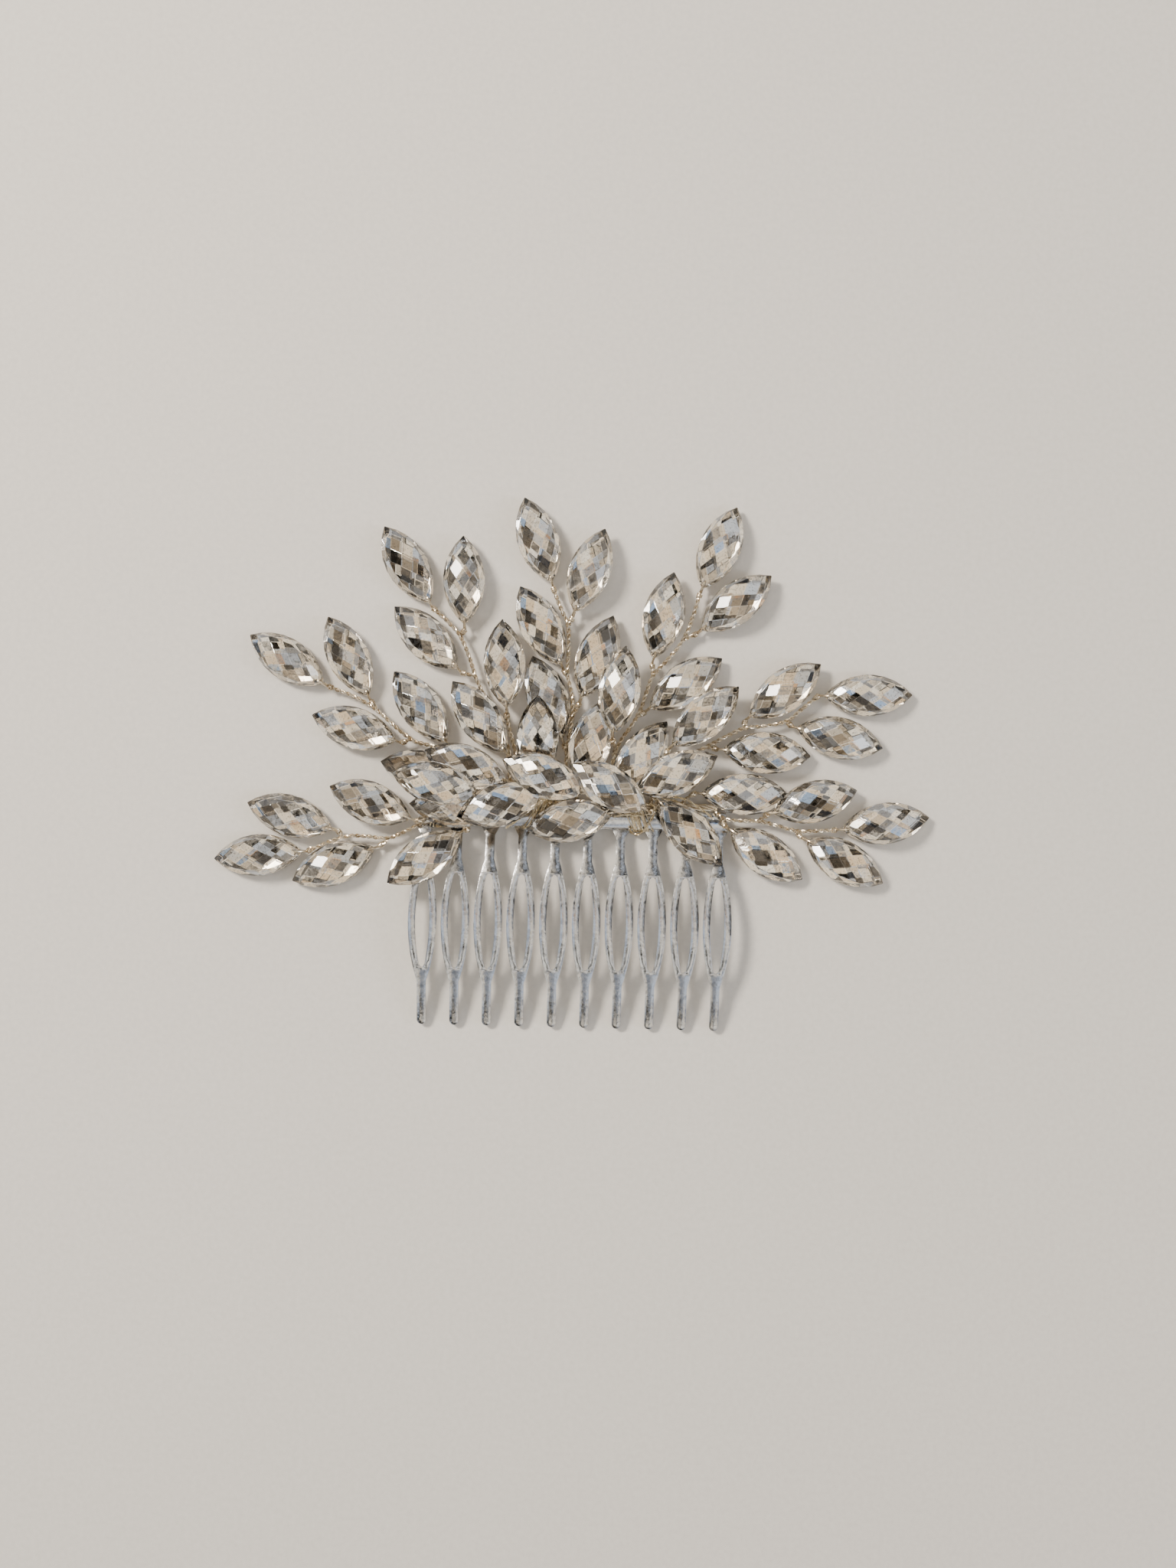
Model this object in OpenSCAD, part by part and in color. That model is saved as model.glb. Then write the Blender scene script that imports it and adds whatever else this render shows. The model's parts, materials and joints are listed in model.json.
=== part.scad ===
// Decorative hair comb: a cast metal comb with ten looped teeth, and above its spine
// seven sprays and a middle cluster of navette stones on twisted wire stems.
// X runs along the spine, Y runs from the tooth tips to the sprays, Z is up from the
// surface that the comb lies on with its back down.

/* [Stones] */
// Length of a stone from tip to tip
stone_length = 15; // [14:0.5:16]
// Width of a stone across its middle
stone_width = 7; // [6:0.5:7]
// Height of a stone from its flat back to the crown
stone_height = 3.6; // [3:0.1:3.8]
// Height of the plain rim under the facets
stone_rim = 0.7; // [0.5:0.1:0.9]
// Diameter of the wire hole near a stone's inner tip
stone_hole = 0.7; // [0.6:0.05:0.8]

/* [Comb] */
// Number of teeth
tooth_count = 10; // [6:1:10]
// Distance from one tooth to the next
tooth_pitch = 5.5; // [5.5:0.1:6]
// Length of a tooth below the spine
tooth_length = 33.7; // [32:0.1:36]
// Widest part of a tooth, across its loop
tooth_width = 4.8; // [4.6:0.1:4.9]
// Width of the slot inside a tooth's loop
slot_width = 2.4; // [2:0.1:2.6]
// Width of a tooth at its neck and at its tip
neck_width = 1.5; // [1.3:0.1:1.6]
// Thickness of the teeth
tooth_thickness = 1.1; // [1:0.1:1.3]
// How far the teeth rise between the spine and their tips
arch_rise = 3.5; // [2:0.5:4]
// Width of the spine, seen from the front
spine_width = 3.4; // [3:0.1:3.6]
// Thickness of the spine
spine_thickness = 1.4; // [1.2:0.1:1.5]

/* [Wire] */
// Diameter of a stem, which is two strands twisted together
stem_d = 0.6; // [0.5:0.05:0.7]
// Diameter of the single wire that goes through a stone
loop_d = 0.3; // [0.25:0.05:0.35]
// Diameter of the gathered stems that lie along the spine
core_d = 1.2; // [1:0.1:1.4]
// Diameter of the binding wire
binding_d = 0.35; // [0.3:0.05:0.4]
// Gap in a stem at the place where its spray bends
bend_gap = 0.2; // [0.2:0.05:0.3]

/* [Hidden] */

// Heights and edges of the comb. The spine's back is clear of the surface by the
// thickness of the binding wire.
spine_z = 0.6;
spine_bottom = -11;
spine_top = spine_bottom + spine_width;
tip_y = spine_bottom - tooth_length;
spine_length = (tooth_count - 1) * tooth_pitch + 2.4;
core_y = spine_top + core_d / 2 + 0.05;
core_z = spine_z + spine_thickness / 2;
wire_clearance = 0.05;

// Each stone: name, the place of its inner tip, the way its outer tip points in degrees,
// the height of its back under its middle, how far its outer tip is tipped up, its roll,
// and the mould nub as [which tip it is near, which side it is on].
STONES = [
    ["a1", [-45.5, -16], -174, 1.2, -2, 3, [1, 1]],
    ["a2", [-40.5, -12], 164, 1.6, 3, -4, [1, -1]],
    ["a3", [-33.3, -15.1], -157, 1, 1, 3, [1, 1]],
    ["a4", [-27, -10], 160, 2.4, -5, 2, [-1, 1]],
    ["a5", [-18.6, -12], -144, 4.7, 2, 0, [-1, -1]],
    ["b1", [-42.5, 12.5], 148, 1.2, -2, -4, [1, -1]],
    ["b2", [-35, 10.5], 118, 1.8, 3, 5, [1, 1]],
    ["b3", [-30, 3], 164, 1.6, -3, 3, [1, 1]],
    ["b4", [-21.5, 3], 128, 1.6, -2, 4, [1, 1]],
    ["c1", [-25, 26.5], 122, 1.5, 2, 4, [1, 1]],
    ["c2", [-19, 23], 92, 1.8, 0, 0, [1, -1]],
    ["c3", [-20, 15.5], 137, 1.4, -3, 5, [1, 1]],
    ["c4", [-11.5, 9], 94, 3, 2, -2, [1, 1]],
    ["c5", [-11.5, 1.5], 128, 2.6, 0, 3, [1, 1]],
    ["d1", [-4.5, 30.5], 109, 1.6, 2, 3, [1, 1]],
    ["d2", [-0.5, 25.5], 71, 2.2, 2, -3, [1, 1]],
    ["d3", [-2.5, 16.5], 119, 2, 0, 4, [1, 1]],
    ["d4", [1, 11], 70, 1.8, -2, -3, [-1, -1]],
    ["d5", [-2, 4], 111, 1.2, -2, 0, [1, 1]],
    ["e1", [21, 30], 68, 1.5, -2, -4, [1, 1]],
    ["e2", [21, 23], 39, 1.6, 2, -5, [1, 1]],
    ["e3", [13, 18], 78, 2, 2, 3, [1, -1]],
    ["e4", [12.5, 9.5], 36, 1.6, -2, -3, [1, 1]],
    ["e5", [6.5, 5], 83, 4.9, 2, -2, [1, -1]],
    ["f1", [29.5, 8.5], 38, 1.8, 2, -4, [-1, 1]],
    ["f2", [42, 12.5], 2, 1.2, -2, 3, [-1, 1]],
    ["f3", [37.5, 7], -12, 1.4, 0, 4, [1, -1]],
    ["f4", [25, 3], -3, 1.8, -3, 3, [-1, -1]],
    ["f5", [16.5, 3.3], 43, 3.6, 2, -4, [1, 1]],
    ["g1", [21.5, -4.5], 0, 1.9, -4, 2, [-1, -1]],
    ["g2", [33.5, -7.5], 16, 2.6, -7, 3, [1, -1]],
    ["g3", [45.5, -10], 9, 1.2, -2, 3, [1, 1]],
    ["g4", [39.5, -12], -28, 1.4, -2, -4, [1, 1]],
    ["g5", [26.5, -10.5], -33, 1.8, -6, -3, [1, 1]],
    ["k1", [-18, -3.5], 168, 0.9, -1, -4, [1, 1]],
    ["k2", [-11, -3.5], 160, 4.8, 12, 10, [1, -1]],
    ["k3", [-15.5, -5.5], 167, 8.6, 12, -10, [1, 1]],
    ["k4", [-12.5, -8.2], 177, 3.1, 0, 0, [1, 1]],
    ["k5", [-5, -5], -163, 8.1, 15, -3, [1, 1]],
    ["k6", [2, -5], 159, 8, 15, 10, [1, -1]],
    ["k7", [12.5, -7.5], 150, 7.4, 15, 0, [1, 1]],
    ["k8", [7, -8], -167, 3, 0, 0, [-1, 1]],
    ["k9", [10.5, -4.5], 25, 4.2, 0, 0, [1, -1]],
    ["k10", [14.5, -6], -44, 3.4, 2, 0, [-1, -1]],
    ["t1", [-6, -3.5], 91, 4, 10, 0, [1, 1]],
    ["t2", [1, -4], 77, 2.8, -7, 0, [1, -1]],
    ["t3", [7, -4.8], 55, 1.3, 0, 0, [1, 1]],
];

// Each spray's bend: the place in the stem where it leaves the cluster, and the way that
// the stem runs outward there in degrees.
BENDS = [
    ["a", [-28.5, -12.3, 2], -152],
    ["b", [-26.2, 2.8, 2], 160],
    ["c", [-16.5, 13.2, 2.2], 112],
    ["d", [-0.9, 13, 2.2], 108],
    ["e", [12.2, 13, 2.2], 74],
    ["f", [26, 5.4, 2.2], 30],
    ["g", [28.6, -9, 2.2], 0],
];

// Places along the stems of each spray beyond its bend. Each stem starts at the stone
// that it names, or at the bend for an empty name.
OUTER_STEMS = [
    ["a", "a1", [[-38.8, -13.2, 2.2], [-35, -13, 2.3], [-31.1, -13.6, 2.2]]],
    ["a", "a2", [[-38.8, -13.2, 2.2]]],
    ["a", "a3", [[-31.1, -13.6, 2.2]]],
    ["b", "b1", [[-37.5, 10.6, 1.8], [-33.5, 8.4, 2], [-30.5, 5.6, 2], [-27.6, 3.4, 2]]],
    ["b", "b2", [[-33.5, 8.4, 2]]],
    ["b", "b3", [[-27.6, 3.4, 2]]],
    ["c", "c1", [[-22, 23.7, 2], [-19.6, 21.2, 2.1], [-18, 17.5, 2.1], [-17, 14.4, 2.2]]],
    ["c", "c2", [[-19.6, 21.2, 2.1]]],
    ["c", "c3", [[-17, 14.4, 2.2]]],
    ["d", "d1", [[-3, 26.5, 2.1], [-1.4, 23.4, 2.2], [-1.3, 19.5, 2.2], [-1.5, 14.8, 2.2]]],
    ["d", "d2", [[-1.4, 23.4, 2.2]]],
    ["d", "d3", [[-1.5, 14.8, 2.2]]],
    ["e", "e1", [[19.6, 25.4, 2.1], [18.2, 21.4, 2.2], [15.6, 18, 2.2], [13, 15.4, 2.2]]],
    ["e", "e2", [[18.2, 21.4, 2.2]]],
    ["e", "e3", [[13, 15.4, 2.2]]],
    ["f", "f2", [[38.6, 10.4, 1.9], [36, 7.9, 2], [32.4, 7.1, 2.1], [28.6, 6.8, 2.2]]],
    ["f", "f3", [[36, 7.9, 2]]],
    ["f", "f1", [[28.6, 6.8, 2.2]]],
    ["g", "g3", [[41.5, -10.4, 1.8], [37.8, -10.6, 2], [34.5, -9.6, 2.1], [31.4, -8.9, 2.2]]],
    ["g", "g4", [[37.8, -10.6, 2]]],
    ["g", "g2", [[31.4, -8.9, 2.2]]],
];

// Stems between the spine and the cluster. Each starts at the stone or the bend that it
// names and ends in the gathered stems along the spine.
INNER_STEMS = [
    ["bend a", [[-26, -11, 2.5], [-24.6, -9.8, 2.5], [-24, -8, 2.4], [-23.8, -7, 1.5]]],
    ["a4", [[-25.4, -10.4, 2.6], [-24.6, -9.8, 2.5]]],
    ["a5", [[-17.4, -11.8, 3.6], [-17.4, -11.2, 2.5], [-17.8, -8.2, 2.5], [-17.8, -7, 1.5]]],
    ["bend b", [[-23.5, 2.4, 1.8], [-19.5, 0.2, 1.5], [-16.4, -3.2, 1.4], [-15, -7, 1.3]]],
    ["b4", [[-20.3, 1.2, 1.7], [-19.5, 0.2, 1.5]]],
    ["k1", [[-16.2, -5.4, 1.4], [-16, -7, 1.3]]],
    ["k4", [[-11.4, -7.6, 2.6], [-11, -7, 1.4]]],
    ["bend c", [[-15.2, 10.8, 1.6], [-13, 6.5, 1.5], [-10.3, 0.5, 1.4], [-9.6, -7, 1.3]]],
    ["c4", [[-11.4, 7, 2.2], [-10, 2, 1.4], [-8.6, -4, 1.4], [-8.4, -7, 1.3]]],
    ["c5", [[-11, -0.6, 1.4], [-10.4, -7, 1.3]]],
    ["k3", [[-13.6, -6.3, 5], [-13.4, -6.8, 2.4], [-13, -7, 1.4]]],
    ["k2", [[-9.4, -4.6, 2.2], [-9.2, -7, 1.4]]],
    ["t1", [[-6.6, -5.4, 2.2], [-7.4, -7, 1.4]]],
    ["k5", [[-3.6, -5.4, 4], [-3.4, -6.6, 2], [-3.6, -7, 1.4]]],
    ["bend d", [[-0.4, 10.5, 2], [-0.4, 8, 1.9], [-1.3, 2, 1.5], [-1.5, -7, 1.3]]],
    ["d4", [[0.3, 9.3, 1.9], [-0.4, 8, 1.9]]],
    ["d5", [[-1.5, 2.4, 1.5], [-1.3, 2, 1.5]]],
    ["t2", [[0.6, -5.6, 2.4], [0.6, -7, 1.4]]],
    ["k6", [[3.3, -5.3, 4], [3.4, -5.6, 2.2], [3.4, -7, 1.4]]],
    ["bend e", [[10.8, 8.3, 1.8], [7.6, 3.8, 1.5], [6.6, 1, 1.4], [5.4, -7, 1.3]]],
    ["e4", [[10.8, 8.3, 1.8]]],
    ["e5", [[6.9, 3.2, 3], [6.8, 2.2, 1.5], [6.6, 1, 1.4]]],
    ["t3", [[6.3, -6, 1.5], [6.2, -7, 1.4]]],
    ["k8", [[8.2, -7.7, 2.4], [8.6, -7, 1.4]]],
    ["k9", [[9.2, -5.4, 2.4], [9, -7, 1.4]]],
    ["bend f", [[22.4, 3.4, 1.7], [17, 0.5, 1.5], [13.6, -4.5, 1.4], [13, -7, 1.3]]],
    ["f4", [[22.4, 3.4, 1.7]]],
    ["f5", [[15.6, 1.8, 2.6], [14.8, -2, 1.5], [13.6, -4.5, 1.4]]],
    ["k7", [[13.8, -8, 3.2], [13.8, -7, 1.4]]],
    ["k10", [[14, -5.4, 2.6], [14.4, -7, 1.4]]],
    ["bend g", [[27.2, -9, 2.4], [25.6, -8.8, 2.5], [24.6, -8, 2.4], [24, -7, 1.5]]],
    ["g1", [[19.6, -5, 1.8], [18, -7, 1.3]]],
    ["g5", [[25.5, -9.4, 2.6], [25.6, -8.8, 2.5]]],
];

// Bindings: the gap between two teeth that the turns go through, counted from the left,
// and the number of turns.
BINDINGS = [["left", 1, 4], ["middle", 4, 4], ["right", 7, 5]];

STONE_NODES = [for (stone = STONES) str("stone_", stone[0])];
STEM_NODES = [for (bend = BENDS) str("stem_", bend[0])];
BINDING_NODES = [for (binding = BINDINGS) str("binding_", binding[0])];

// Places and directions. A stone's own frame has its origin in the middle of its back,
// X toward its outer tip and Z toward its crown.
function unit(v) = v / norm(v);
function stone_named(name) = [for (stone = STONES) if (stone[0] == name) stone][0];
function bend_named(name) = [for (bend = BENDS) if (bend[0] == name) bend][0];
function stone_middle(stone) =
    [stone[1].x + cos(stone[2]) * stone_length / 2,
     stone[1].y + sin(stone[2]) * stone_length / 2,
     stone[3]];
function tilted(p, tilt) =
    [p.x * cos(tilt) - p.z * sin(tilt), p.y, p.x * sin(tilt) + p.z * cos(tilt)];
function rolled(p, roll) =
    [p.x, p.y * cos(roll) - p.z * sin(roll), p.y * sin(roll) + p.z * cos(roll)];
function turned(p, heading) =
    [p.x * cos(heading) - p.y * sin(heading), p.x * sin(heading) + p.y * cos(heading), p.z];
function in_part(stone, p) =
    stone_middle(stone) + turned(tilted(rolled(p, stone[5]), stone[4]), stone[2]);

// The outline of a navette is two arcs. This is half its width at x from the middle.
arc_r = (stone_length ^ 2 + stone_width ^ 2) / (4 * stone_width);
function half_width(x) = sqrt(max(0, arc_r ^ 2 - x ^ 2)) - (arc_r - stone_width / 2);

// The crown is a shallow dome cut into lozenges: its corners lie on a staggered grid.
lozenge_x = stone_length * 0.14;
lozenge_y = stone_width * 0.14;
function crown_z(x, y) =
    stone_height - (stone_height - stone_rim)
    * ((2 * x / stone_length) ^ 2 + (2 * y / stone_width) ^ 2) * 0.95;
function rim_points(z) =
    [for (side = [-1, 1], i = [-4:4]) let (x = i * stone_length / 8 * 0.999)
        [x, side * half_width(x), z]];
function crown_points() =
    [for (i = [-3:3], j = [-3:3])
        let (x = i * lozenge_x, y = j * lozenge_y)
        if ((i + j) % 2 == 0 && crown_z(x, y) > stone_rim + 0.05
            && abs(y) < half_width(x) - 0.2)
        [x, y, crown_z(x, y)]];

// How far the wire hole is from the inner tip, and how far the twisted stem stays off it
hole_inset = 1.15;
twist_off = 0.9;
// Diameter over the turns of a stone's wire tail round its stem
tail_d = stem_d + loop_d;
// Each stem is rolled this much more than the one before it, so that where two of them
// join no flat of one lies along a flat of the other
stem_roll = 11;
// The single wire runs from the twist over the tip, down the hole and back under the tip.
// Each point is a distance in from the tip and a height above the stone's back.
loop_line = [[-0.4, 1.1], [0.3, 1.75], [0.9, 1.8], [hole_inset, 1.4], [hole_inset, -0.1],
             [0.9, -0.3], [0.2, -0.35], [-0.45, -0.25]];
function stone_loop(stone) =
    [for (p = loop_line) in_part(stone, [p[0] - stone_length / 2, 0, p[1]])];
function loop_side(stone) =
    in_part(stone, [0, 1, 0]) - in_part(stone, [0, 0, 0]);
function twist_end(name) =
    in_part(stone_named(name), [-stone_length / 2 - twist_off, 0, stone_rim / 2]);

// The two ends of a stem at a bend: the inner one on the spine's side, the outer beyond
function bend_end(name, outward) =
    let (bend = bend_named(name))
    bend[1] + outward * bend_gap / 2 * [cos(bend[2]), sin(bend[2]), 0];

// A wire swept along points, with a ring of corners at each
function ring(p, forward, side, d, sides, roll = 0) =
    let (a = unit(side - (side * forward) * forward), b = cross(forward, a))
    [for (i = [0:sides - 1])
        let (angle = i * 360 / sides + roll)
        p + d / 2 * (cos(angle) * a + sin(angle) * b)];
function forward_at(points, i) =
    let (last = len(points) - 1,
         before = i > 0 ? unit(points[i] - points[i - 1]) : [0, 0, 0],
         after = i < last ? unit(points[i + 1] - points[i]) : [0, 0, 0])
    unit(before + after);

// The rings lie level across the wire, and from level_until on they lie across side
module wire(points, d, side = [0, 0, 0], level_until = 0, sides = 5, roll = 0) {
    count = len(points);
    rings = [for (i = [0:count - 1])
        let (forward = forward_at(points, i),
             across = i < level_until ? cross([0, 0, 1], forward) : side)
        each ring(points[i], forward, across, d[i], sides, roll)];
    start = [for (i = [0:sides - 1]) i];
    end = [for (i = [0:sides - 1]) count * sides - 1 - i];
    walls = [for (k = [0:count - 2], i = [0:sides - 1])
        let (j = (i + 1) % sides)
        each [[k * sides + j, k * sides + i, (k + 1) * sides + j],
              [k * sides + i, (k + 1) * sides + i, (k + 1) * sides + j]]];
    polyhedron(points = rings, faces = concat([start, end], walls), convexity = 6);
}

// The tail of a stone's wire, wound round the stem in close turns
module tail_turns(from, to, turns) {
    forward = unit(to - from);
    side = cross([0, 0, 1], forward);
    for (turn = [0:turns - 1]) {
        near = from + (0.1 + turn * 0.24) * forward;
        hull_of(concat(ring(near, forward, side, tail_d, 5),
                       ring(near + 0.14 * forward, forward, side, tail_d, 5)));
    }
}

module hull_of(corners) {
    hull()
        polyhedron(points = corners, faces = [[for (i = [0:len(corners) - 1]) i]]);
}

module stone(stone) {
    color("gainsboro")
    translate(stone_middle(stone))
    rotate([stone[5], -stone[4], stone[2]])
    difference() {
        union() {
            hull_of(concat(rim_points(0), rim_points(stone_rim), crown_points()));
            mould_nub(stone[6][0], stone[6][1]);
        }
        translate([-stone_length / 2 + hole_inset, 0, -1])
            cylinder(h = stone_height + 2, d = stone_hole, $fn = 32);
    }
}

// The stub that the mould's channel leaves on the rim
module mould_nub(near_tip, side) {
    nub = [0.9, 0.8, 0.6];
    from_middle = stone_length * 0.38;
    translate([near_tip * from_middle, side * half_width(from_middle), nub.z / 2])
    rotate(-near_tip * side * 35)
        cube(nub, center = true);
}

// A stem and the loop that carries on from it over the tip of its stone, down the hole
// and back under the tip
module stone_stem(name, places, roll, turns) {
    stone = stone_named(name);
    stem = concat([for (i = [len(places) - 1:-1:0]) places[i]], [twist_end(name)]);
    loop = stone_loop(stone);
    wire(concat(stem, loop), concat([for (p = stem) stem_d], [for (p = loop) loop_d]),
        side = loop_side(stone), level_until = len(stem), roll = roll);
    tail_turns(twist_end(name), places[0], turns);
}

module stem_outer(bend) {
    color("wheat")
    for (i = [0:len(OUTER_STEMS) - 1])
        if (OUTER_STEMS[i][0] == bend) {
            stem = OUTER_STEMS[i];
            main = len(stem[2]) > 1;
            stone_stem(stem[1], concat(stem[2], main ? [bend_end(bend, 1)] : []),
                i * stem_roll, 3);
        }
}

module stems_inner() {
    color("wheat")
    for (i = [0:len(INNER_STEMS) - 1]) {
        stem = INNER_STEMS[i];
        from_bend = len(stem[0]) > 4;
        if (from_bend) {
            line = concat([bend_end(stem[0][5], -1)], stem[1]);
            wire(line, [for (p = line) stem_d], level_until = len(line), roll = i * stem_roll);
        } else
            stone_stem(stem[0], stem[1], i * stem_roll, 1);
    }
}

// The stems gathered along the top edge of the spine
module core() {
    color("burlywood")
    translate([-spine_length / 2 + 1.5, core_y, core_z])
    rotate([0, 90, 0])
        cylinder(h = spine_length - 3, d = core_d, $fn = 32);
}

// Turns of wire round the spine and the gathered stems, in the gap between two teeth
module binding(gap, turns) {
    pitch = binding_d + 0.1;
    middle_x = (gap - tooth_count / 2) * tooth_pitch;
    reach = wire_clearance + binding_d / 2;
    low_y = spine_bottom - reach;
    high_y = core_y + core_d / 2 + reach;
    low_z = spine_z - reach;
    high_z = spine_z + spine_thickness + reach;
    turn = [[low_y, low_z + 0.15], [low_y + 0.15, low_z], [high_y - 0.4, low_z],
            [high_y, core_z - 0.35], [high_y, core_z + 0.35], [high_y - 0.4, high_z],
            [low_y + 0.6, high_z], [low_y, high_z - 0.5]];
    steps = len(turn);
    color("tan")
        wire([for (i = [0:turns * steps])
            [middle_x + (i / steps - turns / 2) * pitch, turn[i % steps][0], turn[i % steps][1]]],
            [for (i = [0:turns * steps]) binding_d], side = [1, 0, 0], sides = 6);
}

// Comb
module lens(length, width, height) {
    r = (length ^ 2 + width ^ 2) / (4 * width);
    linear_extrude(height)
    intersection() {
        translate([width / 2 - r, 0])
            circle(r = r, $fn = 128);
        translate([r - width / 2, 0])
            circle(r = r, $fn = 128);
    }
}

module tooth_outline(height) {
    loop_length = tooth_length * 0.74;
    loop_y = spine_bottom - tooth_length * 0.47;
    difference() {
        union() {
            translate([0, loop_y, 0])
                lens(loop_length, tooth_width, height);
            translate([-neck_width / 2, tip_y + neck_width / 2, 0])
                cube([neck_width, tooth_length * 0.2, height]);
            translate([0, tip_y + neck_width / 2, 0])
                cylinder(h = height, d = neck_width, $fn = 48);
            translate([-neck_width / 2, spine_bottom - tooth_length * 0.2, 0])
                cube([neck_width, tooth_length * 0.2 + 1, height]);
            linear_extrude(height)
                polygon([[-neck_width, spine_bottom + 0.5], [-neck_width, spine_bottom],
                         [-neck_width / 2, spine_bottom - 1.4],
                         [neck_width / 2, spine_bottom - 1.4],
                         [neck_width, spine_bottom], [neck_width, spine_bottom + 0.5]]);
        }
        translate([0, loop_y, -1])
            slot(height + 2);
    }
}

// The slot in a tooth, with its pointed ends rounded off
module slot(height) {
    length = tooth_length * 0.58;
    end_r = 0.4;
    end_y = length / 2 - 2.2;
    intersection() {
        lens(length, slot_width, height);
        translate([-slot_width / 2, -end_y, -1])
            cube([slot_width, 2 * end_y, height + 2]);
    }
    for (side = [-1, 1])
        translate([0, side * end_y, 0])
            cylinder(h = height, r = end_r, $fn = 32);
}

module comb() {
    tall = 12;
    // The teeth are cut from a bowed plate, whose underside runs from the surface at the
    // tips to the spine's back
    span = norm([tooth_length, spine_z]) / 2;
    inner_r = (span ^ 2 + arch_rise ^ 2) / (2 * arch_rise);
    lean = atan(spine_z / tooth_length);
    center_y = spine_bottom - tooth_length / 2 + (inner_r - arch_rise) * sin(lean);
    center_z = spine_z / 2 - (inner_r - arch_rise) * cos(lean);
    color("silver") {
        difference() {
            intersection() {
                for (i = [0:tooth_count - 1])
                    translate([(i - (tooth_count - 1) / 2) * tooth_pitch, 0, -1])
                        tooth_outline(tall);
                translate([0, center_y, center_z])
                rotate([0, 90, 0])
                difference() {
                    cylinder(h = 80, r = inner_r + tooth_thickness, center = true, $fn = 200);
                    cylinder(h = 82, r = inner_r, center = true, $fn = 200);
                }
            }
            // Nothing of a tooth stands below the spine's flat back
            translate([-spine_length / 2, spine_bottom, spine_z - 3])
                cube([spine_length, spine_width, 3]);
        }
        translate([-spine_length / 2, 0, 0])
        rotate([90, 0, 90])
        linear_extrude(spine_length)
            spine_section();
    }
}

// The spine is flat behind and softly rounded in front
module spine_section() {
    crown_r = 3.4;
    intersection() {
        translate([spine_bottom, spine_z])
            square([spine_width, spine_thickness]);
        translate([spine_bottom + spine_width / 2, spine_z + spine_thickness - crown_r])
            circle(r = crown_r, $fn = 64);
    }
}

comb();
core();
stems_inner();
for (bend = BENDS)
    stem_outer(bend[0]);
for (item = BINDINGS)
    binding(item[1], item[2]);
for (item = STONES)
    stone(item);
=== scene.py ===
"""Decorative hair comb, dressed for pictures around its CAD model.

Every piece is built in metres, in the CAD model's own frame. Sizes and routes below are
in millimetres and are turned to metres by mm().
"""

import json
import math
import random

import bpy
from bpy.props import FloatProperty, FloatVectorProperty, IntProperty, PointerProperty
from bpy.types import Operator, Panel, PropertyGroup
from mathutils import Matrix, Vector


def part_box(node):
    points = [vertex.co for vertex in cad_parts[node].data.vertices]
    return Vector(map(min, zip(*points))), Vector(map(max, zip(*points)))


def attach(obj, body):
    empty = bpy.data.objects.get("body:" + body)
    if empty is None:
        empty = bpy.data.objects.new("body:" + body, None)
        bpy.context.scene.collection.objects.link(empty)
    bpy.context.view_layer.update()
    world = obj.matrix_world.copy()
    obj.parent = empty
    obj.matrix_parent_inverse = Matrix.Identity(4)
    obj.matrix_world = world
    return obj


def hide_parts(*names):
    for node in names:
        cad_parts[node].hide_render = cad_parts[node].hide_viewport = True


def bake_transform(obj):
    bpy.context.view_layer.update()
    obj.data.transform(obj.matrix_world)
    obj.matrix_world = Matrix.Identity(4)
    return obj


bl_info = {
    "name": "Decorative Hair Comb",
    "version": (1, 0, 0),
    "blender": (4, 5, 0),
    "location": "View3D > Sidebar > Hair Comb",
    "description": "Builds the stones, twisted wires, bindings and comb of a hair comb",
    "category": "Object",
}

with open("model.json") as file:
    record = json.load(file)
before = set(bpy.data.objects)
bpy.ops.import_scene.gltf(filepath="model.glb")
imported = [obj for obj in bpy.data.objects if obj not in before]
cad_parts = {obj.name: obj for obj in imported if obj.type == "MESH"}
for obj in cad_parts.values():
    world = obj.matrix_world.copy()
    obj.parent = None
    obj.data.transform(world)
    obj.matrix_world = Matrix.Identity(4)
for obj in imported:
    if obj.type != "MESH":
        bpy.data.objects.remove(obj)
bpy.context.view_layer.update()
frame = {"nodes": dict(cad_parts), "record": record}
BODY_OF = {node: body for body, nodes in frame["record"]["behaviour"]["bodies"].items()
           for node in nodes}
STONE_NODES = sorted(node for node in frame["nodes"] if node.startswith("stone_"))
UP = Vector((0, 0, 1))

# Each spray's bend: its place in the stem, and the way the stem runs outward in degrees
BENDS = {
    "a": ((-28.5, -12.3, 2), -152),
    "b": ((-26.2, 2.8, 2), 160),
    "c": ((-16.5, 13.2, 2.2), 112),
    "d": ((-0.9, 13, 2.2), 108),
    "e": ((12.2, 13, 2.2), 74),
    "f": ((26, 5.4, 2.2), 30),
    "g": ((28.6, -9, 2.2), 0),
}

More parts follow.
